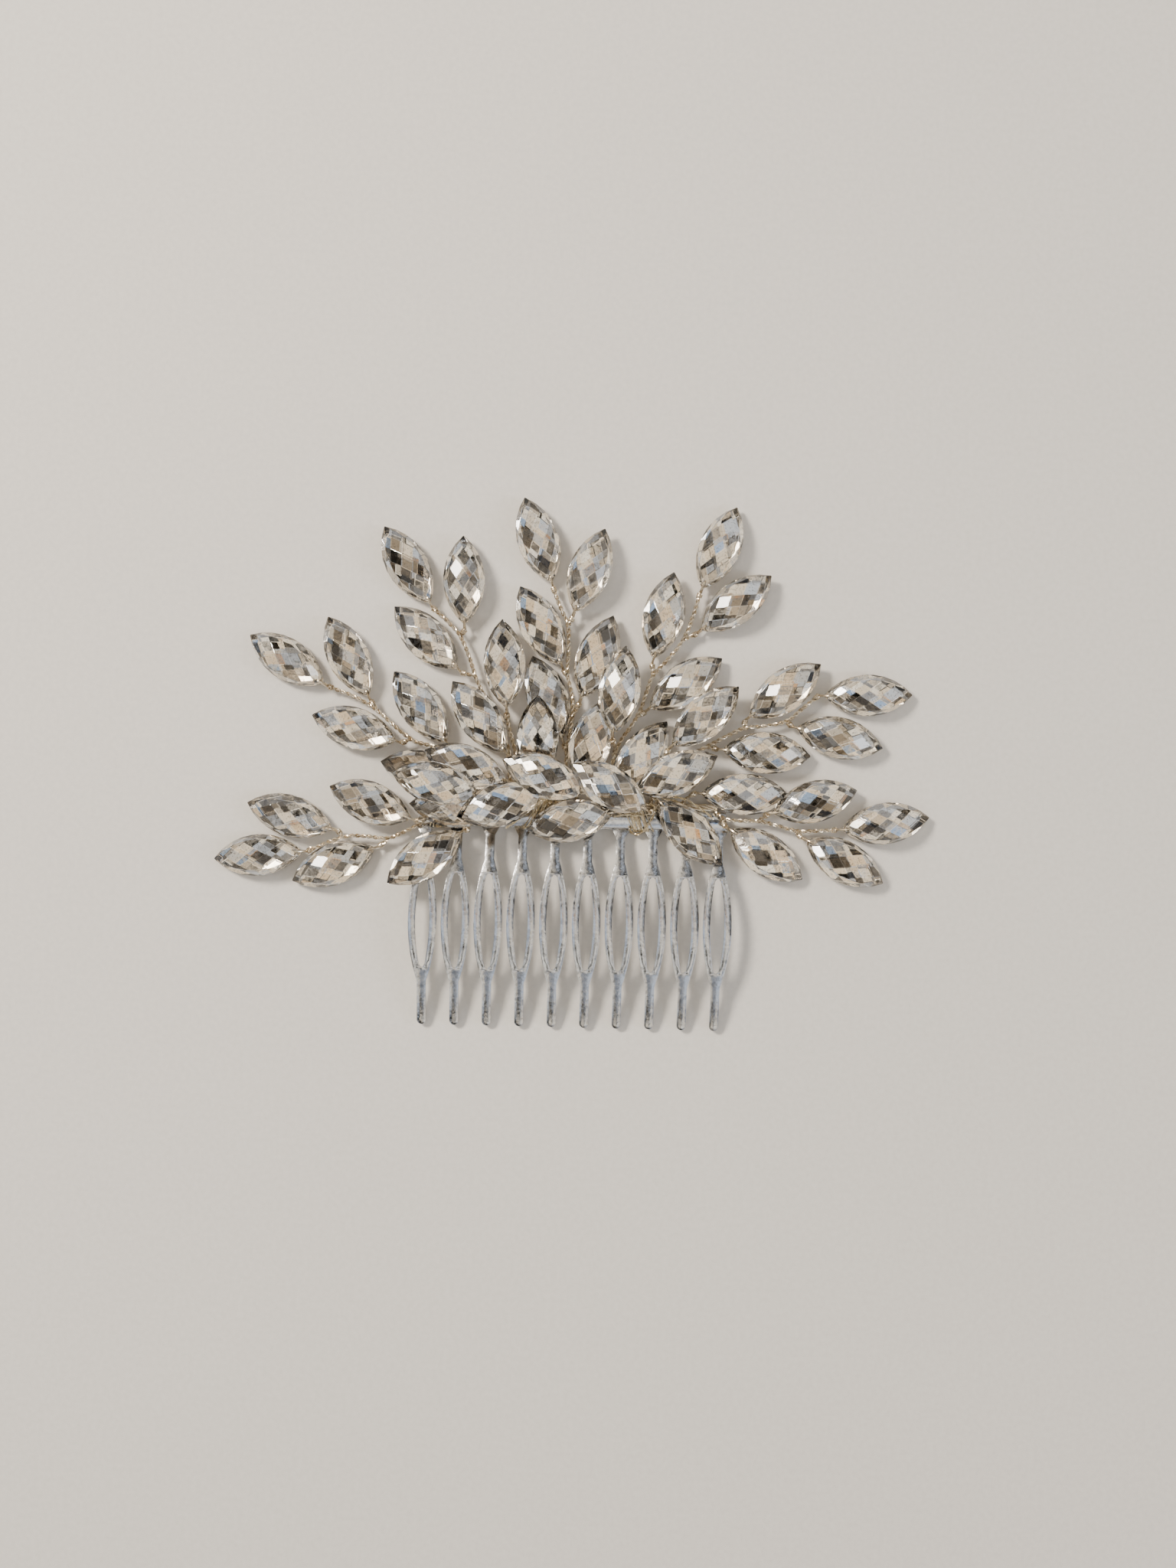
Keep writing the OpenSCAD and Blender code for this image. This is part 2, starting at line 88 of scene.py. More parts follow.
# Stems beyond the bends: the stone each one starts at, and its places from there inward.
# The first of each spray runs on to its bend.
OUTER_STEMS = {
    "a": [("a1", [(-38.8, -13.2, 2.2), (-35, -13, 2.3), (-31.1, -13.6, 2.2)]),
          ("a2", [(-38.8, -13.2, 2.2)]),
          ("a3", [(-31.1, -13.6, 2.2)])],
    "b": [("b1", [(-37.5, 10.6, 1.8), (-33.5, 8.4, 2), (-30.5, 5.6, 2), (-27.6, 3.4, 2)]),
          ("b2", [(-33.5, 8.4, 2)]),
          ("b3", [(-27.6, 3.4, 2)])],
    "c": [("c1", [(-22, 23.7, 2), (-19.6, 21.2, 2.1), (-18, 17.5, 2.1), (-17, 14.4, 2.2)]),
          ("c2", [(-19.6, 21.2, 2.1)]),
          ("c3", [(-17, 14.4, 2.2)])],
    "d": [("d1", [(-3, 26.5, 2.1), (-1.4, 23.4, 2.2), (-1.3, 19.5, 2.2), (-1.5, 14.8, 2.2)]),
          ("d2", [(-1.4, 23.4, 2.2)]),
          ("d3", [(-1.5, 14.8, 2.2)])],
    "e": [("e1", [(19.6, 25.4, 2.1), (18.2, 21.4, 2.2), (15.6, 18, 2.2), (13, 15.4, 2.2)]),
          ("e2", [(18.2, 21.4, 2.2)]),
          ("e3", [(13, 15.4, 2.2)])],
    "f": [("f2", [(38.6, 10.4, 1.9), (36, 7.9, 2), (32.4, 7.1, 2.1), (28.6, 6.8, 2.2)]),
          ("f3", [(36, 7.9, 2)]),
          ("f1", [(28.6, 6.8, 2.2)])],
    "g": [("g3", [(41.5, -10.4, 1.8), (37.8, -10.6, 2), (34.5, -9.6, 2.1), (31.4, -8.9, 2.2)]),
          ("g4", [(37.8, -10.6, 2)]),
          ("g2", [(31.4, -8.9, 2.2)])],
}

# Each spray's stem from its bend to the gathered stems along the spine
INNER_MAIN = {
    "a": [(-26, -11, 2.5), (-24.6, -9.8, 2.5), (-24, -8, 2.4), (-23.8, -7, 1.5)],
    "b": [(-23.5, 2.4, 1.8), (-19.5, 0.2, 1.5), (-16.4, -3.2, 1.4), (-15, -7, 1.3)],
    "c": [(-15.2, 10.8, 1.6), (-13, 6.5, 1.5), (-10.3, 0.5, 1.4), (-9.6, -7, 1.3)],
    "d": [(-0.4, 10.5, 2), (-0.4, 8, 1.9), (-1.3, 2, 1.5), (-1.5, -7, 1.3)],
    "e": [(10.8, 8.3, 1.8), (7.6, 3.8, 1.5), (6.6, 1, 1.4), (5.4, -7, 1.3)],
    "f": [(22.4, 3.4, 1.7), (17, 0.5, 1.5), (13.6, -4.5, 1.4), (13, -7, 1.3)],
    "g": [(27.2, -9, 2.4), (25.6, -8.8, 2.5), (24.6, -8, 2.4), (24, -7, 1.5)],
}

# Stems of the cluster's own stones, from each stone inward
CLUSTER_STEMS = [
    ("a4", [(-25.4, -10.4, 2.6), (-24.6, -9.8, 2.5)]),
    ("a5", [(-17.4, -11.8, 3.6), (-17.4, -11.2, 2.5), (-17.8, -8.2, 2.5), (-17.8, -7, 1.5)]),
    ("b4", [(-20.3, 1.2, 1.7), (-19.5, 0.2, 1.5)]),
    ("k1", [(-16.2, -5.4, 1.4), (-16, -7, 1.3)]),
    ("k4", [(-11.4, -7.6, 2.6), (-11, -7, 1.4)]),
    ("c4", [(-11.4, 7, 2.2), (-10, 2, 1.4), (-8.6, -4, 1.4), (-8.4, -7, 1.3)]),
    ("c5", [(-11, -0.6, 1.4), (-10.4, -7, 1.3)]),
    ("k3", [(-13.6, -6.3, 5), (-13.4, -6.8, 2.4), (-13, -7, 1.4)]),
    ("k2", [(-9.4, -4.6, 2.2), (-9.2, -7, 1.4)]),
    ("t1", [(-6.6, -5.4, 2.2), (-7.4, -7, 1.4)]),
    ("k5", [(-3.6, -5.4, 4), (-3.4, -6.6, 2), (-3.6, -7, 1.4)]),
    ("d4", [(0.3, 9.3, 1.9), (-0.4, 8, 1.9)]),
    ("d5", [(-1.5, 2.4, 1.5), (-1.3, 2, 1.5)]),
    ("t2", [(0.6, -5.6, 2.4), (0.6, -7, 1.4)]),
    ("k6", [(3.3, -5.3, 4), (3.4, -5.6, 2.2), (3.4, -7, 1.4)]),
    ("e4", [(10.8, 8.3, 1.8)]),
    ("e5", [(6.9, 3.2, 3), (6.8, 2.2, 1.5), (6.6, 1, 1.4)]),
    ("t3", [(6.3, -6, 1.5), (6.2, -7, 1.4)]),
    ("k8", [(8.2, -7.7, 2.4), (8.6, -7, 1.4)]),
    ("k9", [(9.2, -5.4, 2.4), (9, -7, 1.4)]),
    ("f4", [(22.4, 3.4, 1.7)]),
    ("f5", [(15.6, 1.8, 2.6), (14.8, -2, 1.5), (13.6, -4.5, 1.4)]),
    ("k7", [(13.8, -8, 3.2), (13.8, -7, 1.4)]),
    ("k10", [(14, -5.4, 2.6), (14.4, -7, 1.4)]),
    ("g1", [(19.6, -5, 1.8), (18, -7, 1.3)]),
    ("g5", [(25.5, -9.4, 2.6), (25.6, -8.8, 2.5)]),
]


# Units and colours

def mm(*lengths):
    """Millimetres to metres: a number, or a point from three of them."""
    if len(lengths) == 1 and not isinstance(lengths[0], (tuple, list, Vector)):
        return lengths[0] / 1000
    point = lengths[0] if len(lengths) == 1 else lengths
    return Vector(point) / 1000


def linear(hex_colour):
    """An sRGB hex colour as linear red, green, blue and alpha."""
    parts = [int(hex_colour[i:i + 2], 16) / 255 for i in (1, 3, 5)]
    return [c / 12.92 if c <= 0.04045 else ((c + 0.055) / 1.055) ** 2.4
            for c in parts] + [1.0]


# Settings that a user would change

class StoneSettings(PropertyGroup):
    length: FloatProperty(name="Length", description="Tip to tip", default=0.015,
                          subtype="DISTANCE", unit="LENGTH")
    width: FloatProperty(name="Width", description="Across the middle", default=0.007,
                         subtype="DISTANCE", unit="LENGTH")
    height: FloatProperty(name="Height", description="Flat back to crown", default=0.0036,
                          subtype="DISTANCE", unit="LENGTH")
    rim: FloatProperty(name="Rim", description="Height of the plain rim", default=0.0007,
                       subtype="DISTANCE", unit="LENGTH")
    soften: FloatProperty(name="Edge softness",
                          description="How far the moulded facet edges are rounded",
                          default=0.00007, subtype="DISTANCE", unit="LENGTH")
    tint: FloatVectorProperty(name="Tint", description="Colour of the clear acrylic",
                              subtype="COLOR", default=linear("#FBFAF6")[:3])


class WireSettings(PropertyGroup):
    strand: FloatProperty(name="Strand", description="Diameter of one stem strand",
                          default=0.00036, subtype="DISTANCE", unit="LENGTH")
    lay: FloatProperty(name="Lay", description="Length of one full twist of the strands",
                       default=0.002, subtype="DISTANCE", unit="LENGTH")
    binding: FloatProperty(name="Binding wire", description="Diameter of the binding wire",
                           default=0.00022, subtype="DISTANCE", unit="LENGTH")
    sides: IntProperty(name="Sides", description="Corners round a wire", default=6, min=4)
    stem_colour: FloatVectorProperty(name="Stem colour", description="Silvered wire",
                                     subtype="COLOR", default=linear("#DACDB6")[:3])
    binding_colour: FloatVectorProperty(name="Binding colour", description="Gilt wire",
                                        subtype="COLOR", default=linear("#DCCDAE")[:3])


class CastCombSettings(PropertyGroup):
    bevel: FloatProperty(name="Edge bevel", description="Width of the polished edges",
                         default=0.00014, subtype="DISTANCE", unit="LENGTH")
    colour: FloatVectorProperty(name="Plate colour", description="Silver plate",
                                subtype="COLOR", default=linear("#D0D1D2")[:3])


class StageSettings(PropertyGroup):
    floor_colour: FloatVectorProperty(name="Floor colour", description="Pale paper floor",
                                      subtype="COLOR", default=linear("#D8D3CB")[:3])
    camera_height: FloatProperty(name="Camera height", description="Above the floor",
                                 default=0.36, subtype="DISTANCE", unit="LENGTH")
    view_height: FloatProperty(name="View height", description="Length of floor in view",
                               default=0.2665, subtype="DISTANCE", unit="LENGTH")


# Modelling helpers

def deselect():
    """Nothing is left selected or in edit mode."""
    if bpy.context.object and bpy.context.object.mode != "OBJECT":
        bpy.ops.object.mode_set(mode="OBJECT")
    bpy.ops.object.select_all(action="DESELECT")


def only(obj):
    """Makes obj the one selected and active object."""
    deselect()
    obj.select_set(True)
    bpy.context.view_layer.objects.active = obj
    return obj


def set_in_mesh(obj):
    """Moves an object's place into its mesh, so that the object sits at the origin."""
    only(obj)
    bpy.ops.object.transform_apply(location=True, rotation=True, scale=True)
    return obj


def apply_modifiers(obj):
    only(obj)
    for modifier in list(obj.modifiers):
        bpy.ops.object.modifier_apply(modifier=modifier.name)


def wire_piece(name, strands, diameter, sides):
    """One mesh of round wires, each swept along its own line of points in metres."""
    deselect()
    bpy.ops.curve.primitive_nurbs_path_add()
    obj = bpy.context.object
    obj.name = name
    curve = obj.data
    curve.splines.clear()
    curve.dimensions = "3D"
    curve.bevel_depth = diameter / 2
    curve.bevel_resolution = max(0, sides // 2 - 2)
    curve.use_fill_caps = True
    for points in strands:
        spline = curve.splines.new("POLY")
        spline.points.add(len(points) - 1)
        for place, point in zip(spline.points, points):
            place.co = (*point, 1)
    only(obj)
    bpy.ops.object.convert(target="MESH")
    obj = bpy.context.object
    obj.data.name = name
    bpy.ops.object.shade_smooth_by_angle(angle=math.radians(50))
    return obj


# Wire routes. A twist has this many points to one full lay, and a winding to one turn

STEPS_PER_LAY = 9
STEPS_PER_TURN = 12


def rounded(points, times=2):
    """A line of points with its corners cut off again and again."""
    points = [Vector(p) for p in points]
    for _ in range(times):
        softer = [points[0]]
        for a, b in zip(points, points[1:]):
            softer += [a.lerp(b, 0.25), a.lerp(b, 0.75)]
        points = softer + [points[-1]]
    return points


def evenly(points, step):
    """The same line with its points a fixed step apart."""
    out, travelled, due = [points[0].copy()], 0.0, step
    for a, b in zip(points, points[1:]):
        length = (b - a).length
        while travelled + length >= due and length > 0:
            out.append(a.lerp(b, (due - travelled) / length))
            due += step
        travelled += length
    if (out[-1] - points[-1]).length > step * 0.3:
        out.append(points[-1].copy())
    return out


def carried_frames(points):
    """A forward, side and upper direction at each point, with no sudden twist."""
    frames, side = [], None
    for i, point in enumerate(points):
        ahead = points[min(i + 1, len(points) - 1)] - points[max(i - 1, 0)]
        forward = ahead.normalized()
        if side is None:
            side = forward.cross(UP) if abs(forward.z) < 0.9 else forward.cross(Vector((1, 0, 0)))
        side = (side - forward * side.dot(forward)).normalized()
        frames.append((forward, side, forward.cross(side)))
    return frames


def twisted(route, strand, lay, turn=0.0, strands=2, spread=1.12):
    """Strands laid round a route, as two wires twisted together by hand are."""
    points = evenly(rounded(route), lay / STEPS_PER_LAY)
    lines = [[] for _ in range(strands)]
    for i, (point, (_, side, over)) in enumerate(zip(points, carried_frames(points))):
        # A hand twist is tighter in some places than in others
        loose = 1 + 0.08 * math.sin(i * 0.37 + turn * 5)
        reach = strand / 2 * spread * loose
        if strands > 2:
            # A rope of more strands lies in a close ring, each one touching the next
            reach = strand / 2 / math.sin(math.pi / strands)
        for k, line in enumerate(lines):
            angle = turn + math.tau * (i / STEPS_PER_LAY + k / strands)
            line.append(point + reach * (math.cos(angle) * side + math.sin(angle) * over))
    return lines


def wound(route, radius, pitch, turns, turn=0.0):
    """Close turns of one wire round the start of a route."""
    step = mm(0.05)
    points = evenly(rounded(route, 1), step)
    frames = carried_frames(points)
    line = []
    for i in range(int(turns * STEPS_PER_TURN) + 1):
        along = i / STEPS_PER_TURN * pitch
        k = min(int(along / step), len(points) - 1)
        _, side, over = frames[k]
        angle = turn + math.tau * i / STEPS_PER_TURN
        line.append(points[k] + radius * (math.cos(angle) * side + math.sin(angle) * over))
    return line


# Stones. The wire hole is this far from a stone's middle, in millimetres

WIRE_HOLE_REACH = 6.35


def stone_frame(node):
    """A stone's own frame, read from its CAD mesh: the middle of its flat back as origin,
    X toward its outer tip and Z toward its crown."""
    mesh = frame["nodes"][node].data
    areas = {}
    for face in mesh.polygons:
        key = tuple(round(c, 2) for c in face.normal)
        areas.setdefault(key, [0.0, Vector(), set()])
        areas[key][0] += face.area
        areas[key][1] += face.normal * face.area
        areas[key][2].update(face.vertices)
    _, back_normal, used = max(areas.values(), key=lambda entry: entry[0])
    up = -back_normal.normalized()
    corners = [mesh.vertices[i].co.copy() for i in used]
    tips = max(((a, b) for a in corners for b in corners),
               key=lambda pair: (pair[0] - pair[1]).length_squared)
    middle = (tips[0] + tips[1]) / 2
    # The wire hole's ring is the only part of the back well inside its outline
    along = (tips[1] - tips[0]).normalized()
    across = up.cross(along)
    reach = mm(WIRE_HOLE_REACH)
    inside = [sum(1 for c in corners
                  if abs(abs((c - middle).dot(along)) - reach) < mm(0.5)
                  and (c - middle).dot(along) * sign > 0
                  and abs((c - middle).dot(across)) < mm(0.45))
              for sign in (-1, 1)]
    if inside[1] > inside[0]:
        along = -along
    across = up.cross(along)
    return Matrix((
        (along.x, across.x, up.x, middle.x),
        (along.y, across.y, up.y, middle.y),
        (along.z, across.z, up.z, middle.z),
        (0, 0, 0, 1)))


STONE_FRAMES = {node[len("stone_"):]: stone_frame(node) for node in STONE_NODES}


def body_of_stone(name):
    return BODY_OF["stone_" + name]


def in_stone(name, x, y, z):
    """A place in a stone's own frame, in millimetres from its back's middle."""
    return STONE_FRAMES[name] @ mm(x, y, z)


def cut(point, normal):
    """Saws off everything of the mesh in edit mode beyond a plane, as a facet is cut."""
    bpy.ops.mesh.select_all(action="SELECT")
    bpy.ops.mesh.bisect(plane_co=point, plane_no=normal, use_fill=True,
                        clear_outer=True, threshold=1e-7)


# How the pattern stone is cut. Leans are in degrees from lying flat, steps in millimetres
OUTLINE_FLATS = 9
RING_FACETS = 8
RING_LEAN = 67
TIP_LEAN = 42
CROWN_STEP = (1.75, 1.13)


def leaning(x, y, degrees):
    """The normal of a facet that leans toward a level direction."""
    lean = math.radians(degrees)
    return Vector((x * math.sin(lean), y * math.sin(lean), math.cos(lean)))


def cut_navette(settings):
    """The pattern stone: a navette blank with a steep ring of facets and a checkerboard
    crown, each facet cut by its own plane."""
    length, width, height, rim = (settings.length, settings.width, settings.height,
                                  settings.rim)
    # Each long side is one arc: its radius, its centre's distance off, and half its angle
    arc = (length ** 2 + width ** 2) / (4 * width)
    off = arc - width / 2
    half_angle = math.asin(length / 2 / arc)
    deselect()
    # The blank is a little too big all over but flat behind, so every facet is a true cut
    spare = mm(0.4)
    bpy.ops.mesh.primitive_cube_add(size=1, location=(0, 0, (height + spare) / 2))
    blank = bpy.context.object
    blank.name = "navette_pattern"
    blank.scale = (length + spare, width + spare, height + spare)
    bpy.ops.object.transform_apply(location=True, rotation=True, scale=True)
    bpy.ops.object.mode_set(mode="EDIT")

    def along_arc(side, count):
        """Evenly spaced places on one long side, each with the way that it faces."""
        for i in range(count):
            angle = half_angle * (2 * (i + 0.5) / count - 1)
            yield (Vector((arc * math.sin(angle), side * (arc * math.cos(angle) - off), rim)),
                   math.sin(angle), side * math.cos(angle))

    # Outline: upright flats along both arcs, then a ring of facets leaning in over them
    for side in (-1, 1):
        for place, out_x, out_y in along_arc(side, OUTLINE_FLATS):
            cut(place, Vector((out_x, out_y, 0)))
        for place, out_x, out_y in along_arc(side, RING_FACETS):
            cut(place, leaning(out_x, out_y, RING_LEAN))
    # Tips: one small facet at each end
    for end in (-1, 1):
        cut(Vector((end * length * 0.44, 0, height * 0.47)), leaning(end, 0, TIP_LEAN))
    # Crown: planes laid against a shallow dome at staggered places give lozenges. The dome
    # falls 1.9 mm in the 6 mm from its middle toward a tip, and faster toward the sides
    step_x, step_y = mm(CROWN_STEP[0]), mm(CROWN_STEP[1])
    fall_x = mm(1.9) / mm(6) ** 2
    fall_y = fall_x * (step_x / step_y) ** 2
    for i in range(-4, 5):
        for j in range(-3, 4):
            x, y = i * step_x, j * step_y
            if (i + j) % 2 or (2 * x / length) ** 2 + (2 * y / width) ** 2 > 0.95:
                continue
            z = height - fall_x * x * x - fall_y * y * y
            cut(Vector((x, y, z)), Vector((2 * fall_x * x, 2 * fall_y * y, 1)).normalized())
    bpy.ops.mesh.select_all(action="SELECT")
    bpy.ops.mesh.remove_doubles(threshold=mm(0.004))
    bpy.ops.mesh.dissolve_limited(angle_limit=math.radians(0.5))
    bpy.ops.mesh.normals_make_consistent(inside=False)
    bpy.ops.object.mode_set(mode="OBJECT")
    soften = blank.modifiers.new("soften", "BEVEL")
    soften.width = settings.soften
    soften.segments = 1
    soften.limit_method = "ANGLE"
    soften.angle_limit = math.radians(3)
    apply_modifiers(blank)
    return blank


# Material helpers

def node(tree, kind, links=(), **settings):
    """Adds one shader node, sets its values and inputs, and links its inputs."""
    made = tree.nodes.new(kind)
    for key, value in settings.items():
        if hasattr(made, key):
            setattr(made, key, value)
        else:
            made.inputs[key.replace("_", " ")].default_value = value
    for socket, source in dict(links).items():
        tree.links.new(source, made.inputs[socket])
    return made


def new_material(name):
    """An empty material, its tree and its Principled shader."""
    made = bpy.data.materials.new(name)
    made.use_nodes = True
    tree = made.node_tree
    shader = next(n for n in tree.nodes if n.type == "BSDF_PRINCIPLED")
    return made, tree, shader


def grain(tree, millimetres, detail=3.0):
    """A blotchy pattern on Object coordinates, its blotches about the given size."""
    place = node(tree, "ShaderNodeTexCoord").outputs["Object"]
    return node(tree, "ShaderNodeTexNoise", {"Vector": place}, Scale=1000 / millimetres,
                Detail=detail).outputs["Fac"]


def mottled(tree, shader, pattern, dark, light, dark_at, light_at):
    """Colours a surface between two linear tones by a pattern."""
    ramp = node(tree, "ShaderNodeValToRGB", {"Fac": pattern})
    for stop, at, tone in zip(ramp.color_ramp.elements, (dark_at, light_at), (dark, light)):
        stop.position = at
        stop.color = (*tone[:3], 1)
    tree.links.new(ramp.outputs["Color"], shader.inputs["Base Color"])


def polished(tree, shader, pattern, bright, dull):
    """Varies a surface's roughness between two values by a pattern."""
    ranged = node(tree, "ShaderNodeMapRange", {"Value": pattern}, From_Min=0.3, From_Max=0.7,
                  To_Min=bright, To_Max=dull)
    tree.links.new(ranged.outputs["Result"], shader.inputs["Roughness"])


def bumped(tree, shader, pattern, depth_mm):
    """Raises a surface by a pattern, to its real depth."""
    bump = node(tree, "ShaderNodeBump", {"Height": pattern}, Distance=mm(depth_mm),
                Strength=1.0)
    tree.links.new(bump.outputs["Normal"], shader.inputs["Normal"])


def shaded(colour, *shares):
    """A linear colour with each channel turned down."""
    return tuple(c * share for c, share in zip(colour, shares))


# Materials

def acrylic_and_painted_reflection(tone, tint, depth):
    """Clear cast acrylic, moulded and left as it comes out of a polished die: glassy, with a
    slight haze in places and very shallow ripples across the facets. Crown facets come in a few
    tones of painted reflection: the tint is warmed or darkened in place of the lighter or darker
    part of the room that each facet would reflect."""
    made, tree, shader = new_material("acrylic_painted_reflection_" + tone)
    # The base colour is the acrylic's tint times the facet's painted reflection tone
    shader.inputs["Base Color"].default_value = (*shaded(tint, *linear(depth)[:3]), 1)
    shader.inputs["Transmission Weight"].default_value = 1.0
    shader.inputs["IOR"].default_value = 1.49
    polished(tree, shader, grain(tree, 2.5), 0.0, 0.03)
    bumped(tree, shader, grain(tree, 1.6, 1.0), 0.003)
    return made


# Painted reflection tones of the crown facets: each one's depth of colour, standing for a lighter
# or darker part of the room that a facet would reflect, and its share of the facets
PAINTED_REFLECTION_TONES = (("clear", "#FFFFFF", 0.46), ("warm", "#F8ECDA", 0.26), ("grey", "#CFCDCA", 0.15),
               ("dim_grey", "#958F87", 0.09), ("dusk", "#5E5953", 0.04))


def mirror_foil():
    """Vacuum-metallised backing on the flat back: a silver mirror with a faint orange-peel
    and small dull flecks where the coat is thin."""
    made, tree, shader = new_material("silver_mirror_backing")
    shader.inputs["Metallic"].default_value = 1.0
    mottled(tree, shader, grain(tree, 0.35, 2.0), linear("#B9AFA2"), linear("#F1EAE0"),
            0.28, 0.46)
    polished(tree, shader, grain(tree, 0.8), 0.02, 0.12)
    bumped(tree, shader, grain(tree, 0.9, 1.0), 0.003)
    return made


def silvered_wire(colour):
    """Silver-plated copper wire, drawn and then twisted by hand: soft metal glints, warmer
    where the plate has worn, fine draw lines."""
    made, tree, shader = new_material("silver_plated_copper_wire")
    shader.inputs["Metallic"].default_value = 1.0
    mottled(tree, shader, grain(tree, 3.0), shaded(colour, 0.7, 0.63, 0.54), colour, 0.25, 0.6)
    polished(tree, shader, grain(tree, 0.5), 0.2, 0.38)
    # Real draw lines are some hundredths of a millimetre apart; these are coarse enough to show
    bumped(tree, shader, grain(tree, 0.12, 2.0), 0.006)
    return made


def gilt_wire(colour):
    """Fine brass craft wire with a pale lacquer: yellow glints and darker bends."""
    made, tree, shader = new_material("pale_gilt_brass_wire")
    shader.inputs["Metallic"].default_value = 1.0
    mottled(tree, shader, grain(tree, 2.0), shaded(colour, 0.72, 0.66, 0.56), colour, 0.3, 0.58)
    polished(tree, shader, grain(tree, 0.6), 0.18, 0.35)
    # Coarser than the real draw lines, so that they show
    bumped(tree, shader, grain(tree, 0.15, 2.0), 0.005)
    return made


def silver_plate(colour):
    """Bright silver plate on a cast comb: near-mirror, with slow waves left by tumbling,
    small pits and a thin grey bloom in places."""
    made, tree, shader = new_material("silver_plated_casting")
    shader.inputs["Metallic"].default_value = 1.0
    mottled(tree, shader, grain(tree, 1.1, 4.0), shaded(colour, 0.72, 0.72, 0.72), colour,
            0.34, 0.5)
    polished(tree, shader, grain(tree, 0.7, 4.0), 0.08, 0.26)
    bumped(tree, shader, grain(tree, 0.55, 4.0), 0.022)
    return made


def pale_paper(colour):
    """Matt pale paper under the comb, with a faint fibre grain."""
    made, tree, shader = new_material("matt_pale_paper")
    mottled(tree, shader, grain(tree, 0.9, 5.0), shaded(colour, 0.93, 0.93, 0.93), colour,
            0.3, 0.7)
    shader.inputs["Roughness"].default_value = 0.9
    return made


def material_once(name, make, *values):
    """The material of that name, made the first time it is asked for."""
    return bpy.data.materials.get(name) or make(*values)


def stem_material(context):
    return material_once("silver_plated_copper_wire", silvered_wire,
                         tuple(context.scene.comb_wire.stem_colour))


def binding_material(context):
    return material_once("pale_gilt_brass_wire", gilt_wire,
                         tuple(context.scene.comb_wire.binding_colour))


# Piece makers

class HAIRCOMB_OT_stones(Operator):
    """Cut one navette and set a copy of it in the place of every CAD stone"""
    bl_idname = "haircomb.stones"
    bl_label = "Stones"

    def execute(self, context):
        settings = context.scene.comb_stones
        pattern = cut_navette(settings)
        # One acrylic material for each painted reflection tone, then the mirror foil
        for tone, depth, _ in PAINTED_REFLECTION_TONES:
            pattern.data.materials.append(acrylic_and_painted_reflection(tone, tuple(settings.tint), depth))
        pattern.data.materials.append(mirror_foil())
        backing = len(PAINTED_REFLECTION_TONES)
        shares = [share for _, _, share in PAINTED_REFLECTION_TONES]
        crown = []
        for face in pattern.data.polygons:
            face.material_index = backing if face.normal.z < -0.9 else 0
            if (face.normal.z > 0.8 and face.area > mm(0.6) ** 2
                    and abs(face.center.x) < settings.length * 0.36):
                crown.append(face.index)
        for name, place in STONE_FRAMES.items():
            deselect()
            stone = pattern.copy()
            stone.data = pattern.data.copy()
            stone.name = "navette_" + name
            stone.data.name = stone.name
            context.scene.collection.objects.link(stone)
            # Each crown facet gets one painted reflection tone at random, a painted lighter or
            # darker reflection
            chance = random.Random(name)
            for index in crown:
                stone.data.polygons[index].material_index = chance.choices(
                    range(backing), shares)[0]
            stone.data.transform(place)
            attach(stone, body_of_stone(name))
            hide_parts("stone_" + name)
        bpy.data.objects.remove(pattern)
        return {"FINISHED"}


def twist_end(name):
    return in_stone(name, -7.5 - 0.9, 0, 0.35)


def loop_route(name):
    """The single wire over a stone's tip, down its hole and back under the tip."""
    return rounded([in_stone(name, x - 7.5, y, z) for x, y, z in (
        (-0.9, 0.1, 0.35), (-0.4, 0.05, 1.1), (0.3, 0, 1.75), (0.9, 0, 1.95),
        (1.2, 0, 1.5), (1.15, 0, -0.1), (0.8, 0, -0.32), (0.2, 0, -0.35),
        (-0.5, -0.05, -0.1), (-0.9, -0.1, 0.35))], 2)


def stone_wires(name, places, settings, seed):
    """A stone's stem strands, its loop, and the turns where the two meet."""
    start = twist_end(name)
    route = [start] + [mm(p) for p in places]
    strands = twisted(route, settings.strand, settings.lay, turn=seed * 1.3)
    strands.append(loop_route(name))
    strands.append(wound([start, route[1]], mm(0.36), mm(0.3), 2.5, turn=seed))
    return strands


class HAIRCOMB_OT_sprays(Operator):
    """Twist the stems of the seven sprays, each bending where it leaves the cluster"""
    bl_idname = "haircomb.sprays"
    bl_label = "Spray Wires"

    def execute(self, context):
        settings = context.scene.comb_wire
        metal = stem_material(context)
        for seed, (spray, stems) in enumerate(OUTER_STEMS.items()):
            body = "spray_" + spray
            place, heading = BENDS[spray]
            first, places = stems[0]
            # The main stem runs from its stone, over the bend, to the spine in one piece
            through = places + [place] + INNER_MAIN[spray]
            main = wire_piece("main_wire_" + spray,
                              stone_wires(first, through, settings, seed),
                              settings.strand, settings.sides)
            main.data.materials.append(metal)
            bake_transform(main)
            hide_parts("stem_" + spray)
            strands = []
            for k, (name, places) in enumerate(stems[1:]):
                strands += stone_wires(name, places, settings, seed + k + 1)
            side = wire_piece("side_wires_" + spray, strands, settings.strand, settings.sides)
            side.data.materials.append(metal)
            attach(side, body)
        return {"FINISHED"}


class HAIRCOMB_OT_cluster(Operator):
    """Twist the stems of the stones in the middle cluster"""
    bl_idname = "haircomb.cluster"
    bl_label = "Cluster Wires"

    def execute(self, context):
        settings = context.scene.comb_wire
        strands = []
        for seed, (name, places) in enumerate(CLUSTER_STEMS):
            strands += stone_wires(name, places, settings, seed)
        wires = wire_piece("cluster_wires", strands, settings.strand, settings.sides)
        wires.data.materials.append(stem_material(context))
        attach(wires, "comb_body")
        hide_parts("stems_inner")
        return {"FINISHED"}


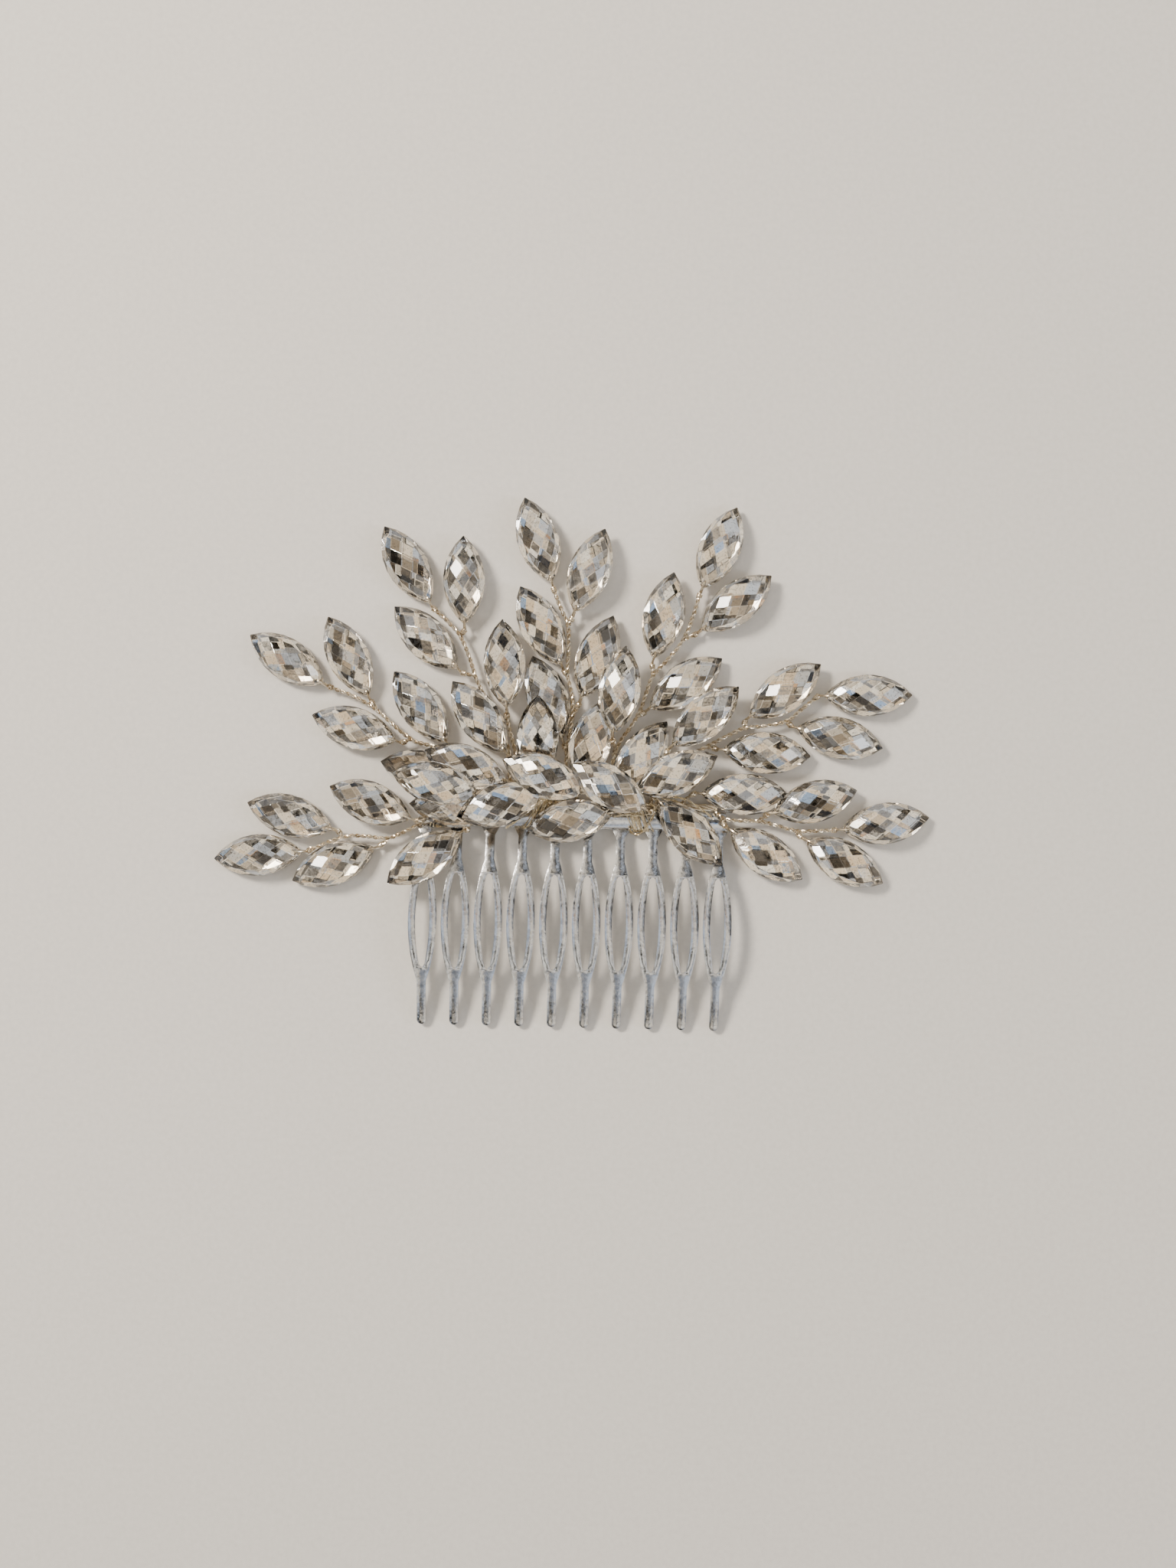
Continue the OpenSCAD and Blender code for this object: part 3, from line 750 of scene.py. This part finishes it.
class HAIRCOMB_OT_core(Operator):
    """Lay the gathered stem ends along the top of the spine as one loose rope"""
    bl_idname = "haircomb.core"
    bl_label = "Gathered Stems"

    def execute(self, context):
        settings = context.scene.comb_wire
        low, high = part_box("core")
        y, z = (low.y + high.y) / 2, (low.z + high.z) / 2
        route = [Vector((low.x, y, z)), Vector((low.x * 0.3, y, z)),
                 Vector((high.x * 0.4, y, z)), Vector((high.x, y, z))]
        strands = twisted(route, settings.strand * 1.25, mm(9), strands=6)
        strands += twisted(route, settings.strand * 1.1, mm(6), turn=0.5, strands=1, spread=0.2)
        rope = wire_piece("gathered_stems", strands, settings.strand * 1.2, settings.sides)
        rope.data.materials.append(stem_material(context))
        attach(rope, "comb_body")
        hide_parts("core")
        return {"FINISHED"}


# The three bindings: how many turns each has, and how far a turn slants across the spine
BINDINGS = (("left", 8, 0.12), ("middle", 12, 0.35), ("right", 14, -0.3))


def binding_turns(low, high, turns, lean, seed):
    """Turns of fine wire round the spine and the gathered stems. Each one is drawn a
    little differently, as a hand winds it."""
    chance = random.Random(seed)
    middle_x = (low.x + high.x) / 2
    reach = (high.x - low.x) / 2
    section = [(low.y, 0.35), (low.y, 0.8), (low.y + mm(0.5), 1), (high.y - mm(0.5), 1),
               (high.y, 0.75), (high.y, 0.3), (high.y - mm(0.4), 0), (low.y + mm(0.3), 0)]
    line = []
    steps = len(section)
    for i in range(turns * steps + 1):
        y, level = section[i % steps]
        across = (y - (low.y + high.y) / 2) * lean
        jitter = mm(chance.uniform(-0.22, 0.22))
        along = (2 * i / (turns * steps) - 1) * reach
        if chance.random() < 0.5:
            along += mm(chance.uniform(-0.3, 0.3))
        line.append(Vector((middle_x + along + across + jitter,
                            y + mm(chance.uniform(-0.02, 0.05)),
                            low.z + (high.z - low.z) * level)))
    return rounded(line, 2)


class HAIRCOMB_OT_bindings(Operator):
    """Wind the fine gilt wire that ties the stems to the spine, with its loose turns"""
    bl_idname = "haircomb.bindings"
    bl_label = "Bindings"

    def execute(self, context):
        settings = context.scene.comb_wire
        metal = binding_material(context)
        for seed, (name, turns, lean) in enumerate(BINDINGS):
            low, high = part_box("binding_" + name)
            inset = settings.binding / 2
            low, high = low + Vector((0, 1, 1)) * inset, high - Vector((0, 1, 1)) * inset
            lines = [binding_turns(low, high, turns, lean, seed + 3),
                     binding_turns(low - Vector((mm(0.5), 0, 0)),
                                   high + Vector((mm(0.6), 0, 0)), turns // 2, lean * 1.6,
                                   seed + 11)]
            turns_piece = wire_piece("binding_turns_" + name, lines, settings.binding,
                                     settings.sides)
            turns_piece.data.materials.append(metal)
            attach(turns_piece, "comb_body")
            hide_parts("binding_" + name)
        return {"FINISHED"}


# Loose runs of binding wire that the winding leaves between the stones, in millimetres
LOOSE_RUNS = [
    [(11, -7.2, 2.4), (13.2, -6.4, 3), (14.2, -7.4, 3), (13, -9.8, 2.9), (11.9, -11.4, 1.8),
     (10.8, -11.9, 1.2), (9.7, -11.3, 1.3), (9.9, -10.6, 2.4)],
    [(-12, -10.6, 2.5), (-10, -9.4, 3.2), (-7.6, -7.4, 3.3), (-5.4, -5.9, 3.1)],
    [(-11.2, -11.2, 2.2), (-9.2, -9.8, 3), (-6.8, -7.6, 3.2), (-4.8, -6.2, 3)],
    [(-23.6, -5.8, 2.4), (-23, -7.4, 3), (-22.6, -9.4, 2.6), (-22.8, -11.3, 1.6)],
    [(15, -5.6, 2.6), (17.4, -5.8, 3.1), (20, -7.4, 3.1), (22.4, -9.4, 2.9), (24.4, -11.6, 2)],
    [(15.4, -6.2, 2.4), (18, -6.6, 3.1), (20.6, -8, 3), (23, -10.4, 2.7), (24.8, -12.2, 2)],
    [(14.6, -5.2, 2.7), (18.4, -5.2, 3), (21.4, -6.9, 3.2), (23.8, -8.8, 3)],
    [(7, -8.8, 2.3), (9, -8.3, 2.6), (11.4, -8.6, 2.7), (13.4, -8, 2.5)],
]


class HAIRCOMB_OT_loose_runs(Operator):
    """Lay the loose runs and the small free curl of the binding wire"""
    bl_idname = "haircomb.loose_runs"
    bl_label = "Loose Binding Runs"

    def execute(self, context):
        settings = context.scene.comb_wire
        lines = []
        for k, run in enumerate(LOOSE_RUNS):
            points = rounded([mm(p) for p in run], 3)
            lines += twisted(points, settings.binding, mm(2.6), turn=k, spread=1.05)
        runs = wire_piece("loose_binding_runs", lines, settings.binding, settings.sides)
        runs.data.materials.append(binding_material(context))
        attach(runs, "comb_body")
        return {"FINISHED"}


class HAIRCOMB_OT_cast_comb(Operator):
    """Finish the cast comb: a copy of the CAD comb with polished, rounded edges"""
    bl_idname = "haircomb.cast_comb"
    bl_label = "Cast Comb"

    def execute(self, context):
        settings = context.scene.comb_cast
        deselect()
        source = frame["nodes"]["comb"]
        comb = source.copy()
        comb.data = source.data.copy()
        comb.name = "cast_comb"
        comb.data.name = "cast_comb"
        for key in list(comb.keys()):
            del comb[key]
        comb.parent = None
        context.scene.collection.objects.link(comb)
        only(comb)
        bpy.ops.object.mode_set(mode="EDIT")
        bpy.ops.mesh.select_all(action="SELECT")
        bpy.ops.mesh.remove_doubles(threshold=mm(0.002))
        bpy.ops.mesh.dissolve_limited(angle_limit=math.radians(1))
        bpy.ops.mesh.customdata_custom_splitnormals_clear()
        bpy.ops.object.mode_set(mode="OBJECT")
        edges = comb.modifiers.new("edges", "BEVEL")
        edges.width = settings.bevel
        edges.segments = 2
        edges.limit_method = "ANGLE"
        edges.angle_limit = math.radians(50)
        apply_modifiers(comb)
        bpy.ops.object.shade_smooth_by_angle(angle=math.radians(32))
        comb.data.materials.clear()
        comb.data.materials.append(material_once("silver_plated_casting", silver_plate,
                                                 tuple(settings.colour)))
        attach(comb, "comb_body")
        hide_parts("comb")
        return {"FINISHED"}


def soft_light(name, place, aim, size, power, colour="#FFFFFF", shape=1.0):
    """A softbox turned to face a point."""
    deselect()
    bpy.ops.object.light_add(type="AREA", location=place)
    light = bpy.context.object
    light.name = name
    light.data.shape = "RECTANGLE"
    light.data.size = size
    light.data.size_y = size * shape
    light.data.energy = power
    light.data.color = linear(colour)[:3]
    light.rotation_euler = (Vector(aim) - Vector(place)).to_track_quat("-Z", "Y").to_euler()
    return light


# The reflector cards' tones, each from its share of the cards upward
CARD_TONES = ((0.0, "#12110F"), (0.14, "#4E4A45"), (0.26, "#8E929A"), (0.42, "#EDE0CC"),
              (0.68, "#FFF9EE"), (0.86, "#C6CFDD"), (0.95, "#94B3DF"), (0.975, "#DDB48C"))


def studio_room():
    """A room of reflector cards, some white or warm, some grey and some black, so that
    neighbouring facets pick up different tones."""
    world = bpy.data.worlds.new("studio_cards")
    world.use_nodes = True
    tree = world.node_tree
    direction = node(tree, "ShaderNodeTexCoord").outputs["Generated"]
    cards = node(tree, "ShaderNodeTexVoronoi", {"Vector": direction}, Scale=6.0)
    parts = node(tree, "ShaderNodeSeparateColor", {"Color": cards.outputs["Color"]})
    tones = node(tree, "ShaderNodeValToRGB", {"Fac": parts.outputs["Red"]})
    tones.color_ramp.interpolation = "CONSTANT"
    while len(tones.color_ramp.elements) < len(CARD_TONES):
        tones.color_ramp.elements.new(0.5)
    for stop, (at, colour) in zip(tones.color_ramp.elements, CARD_TONES):
        stop.position = at
        stop.color = linear(colour)
    # The cards are only seen in reflections and through the stones; behind the floor's edge
    # the room is one plain pale wall
    room = tree.nodes["Background"]
    tree.links.new(tones.outputs["Color"], room.inputs["Color"])
    room.inputs["Strength"].default_value = 1.5
    wall = node(tree, "ShaderNodeBackground", Color=linear("#D6D2CB"))
    seen = node(tree, "ShaderNodeLightPath").outputs["Is Camera Ray"]
    choice = node(tree, "ShaderNodeMixShader", {"Fac": seen, 1: room.outputs["Background"],
                                                2: wall.outputs["Background"]})
    tree.links.new(choice.outputs["Shader"], tree.nodes["World Output"].inputs["Surface"])
    return world


class HAIRCOMB_OT_stage(Operator):
    """Lay the floor, set the softboxes and aim the camera"""
    bl_idname = "haircomb.stage"
    bl_label = "Stage"

    def execute(self, context):
        settings = context.scene.comb_stage
        deselect()
        bpy.ops.mesh.primitive_plane_add(size=3, location=(0, 0, -mm(0.02)))
        floor = bpy.context.object
        floor.name = "floor"
        set_in_mesh(floor)
        floor.data.materials.append(material_once("matt_pale_paper", pale_paper,
                                                  tuple(settings.floor_colour)))
        context.scene.world = studio_room()
        soft_light("key_box", (-0.42, 0.30, 0.55), (0, 0, 0), 0.16, 8.0, "#FFF6EA")
        soft_light("right_strip", (0.55, -0.10, 0.40), (0, 0, 0), 0.10, 1.2, "#F3F7FF", 3.0)
        bpy.ops.object.camera_add()
        camera = bpy.context.object
        camera.name = "camera"
        turn = math.radians(1.4)
        camera.location = (*mm(2.5, -3.4, 0)[:2], settings.camera_height)
        camera.rotation_euler = (0, 0, turn)
        camera.data.sensor_fit = "VERTICAL"
        camera.data.sensor_height = 24
        camera.data.lens = 24 * settings.camera_height / settings.view_height
        camera.data.clip_start = 0.01
        context.scene.camera = camera
        return {"FINISHED"}


class HAIRCOMB_PT_panel(Panel):
    """Lists the pieces of the hair comb in the order they are made"""
    bl_idname = "HAIRCOMB_PT_panel"
    bl_label = "Decorative Hair Comb"
    bl_space_type = "VIEW_3D"
    bl_region_type = "UI"
    bl_category = "Hair Comb"

    def draw(self, context):
        column = self.layout.column(align=True)
        for settings in (context.scene.comb_stones, context.scene.comb_wire,
                         context.scene.comb_cast, context.scene.comb_stage):
            for key in settings.__annotations__:
                column.prop(settings, key)
        for operator in MAKERS:
            column.operator(operator.bl_idname)


SETTINGS = {
    "comb_stones": StoneSettings,
    "comb_wire": WireSettings,
    "comb_cast": CastCombSettings,
    "comb_stage": StageSettings,
}
MAKERS = (HAIRCOMB_OT_stage, HAIRCOMB_OT_cast_comb, HAIRCOMB_OT_stones, HAIRCOMB_OT_sprays,
          HAIRCOMB_OT_cluster, HAIRCOMB_OT_core, HAIRCOMB_OT_bindings, HAIRCOMB_OT_loose_runs)


def register():
    for made in (*SETTINGS.values(), *MAKERS, HAIRCOMB_PT_panel):
        bpy.utils.register_class(made)
    for key, settings in SETTINGS.items():
        setattr(bpy.types.Scene, key, PointerProperty(type=settings))


def unregister():
    for key in SETTINGS:
        delattr(bpy.types.Scene, key)
    for made in reversed((*SETTINGS.values(), *MAKERS, HAIRCOMB_PT_panel)):
        bpy.utils.unregister_class(made)


def main():
    register()
    bpy.ops.haircomb.stage()
    bpy.ops.haircomb.cast_comb()
    bpy.ops.haircomb.stones()
    bpy.ops.haircomb.sprays()
    bpy.ops.haircomb.cluster()
    bpy.ops.haircomb.core()
    bpy.ops.haircomb.bindings()
    bpy.ops.haircomb.loose_runs()
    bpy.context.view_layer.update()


if __name__ == "__main__":
    main()
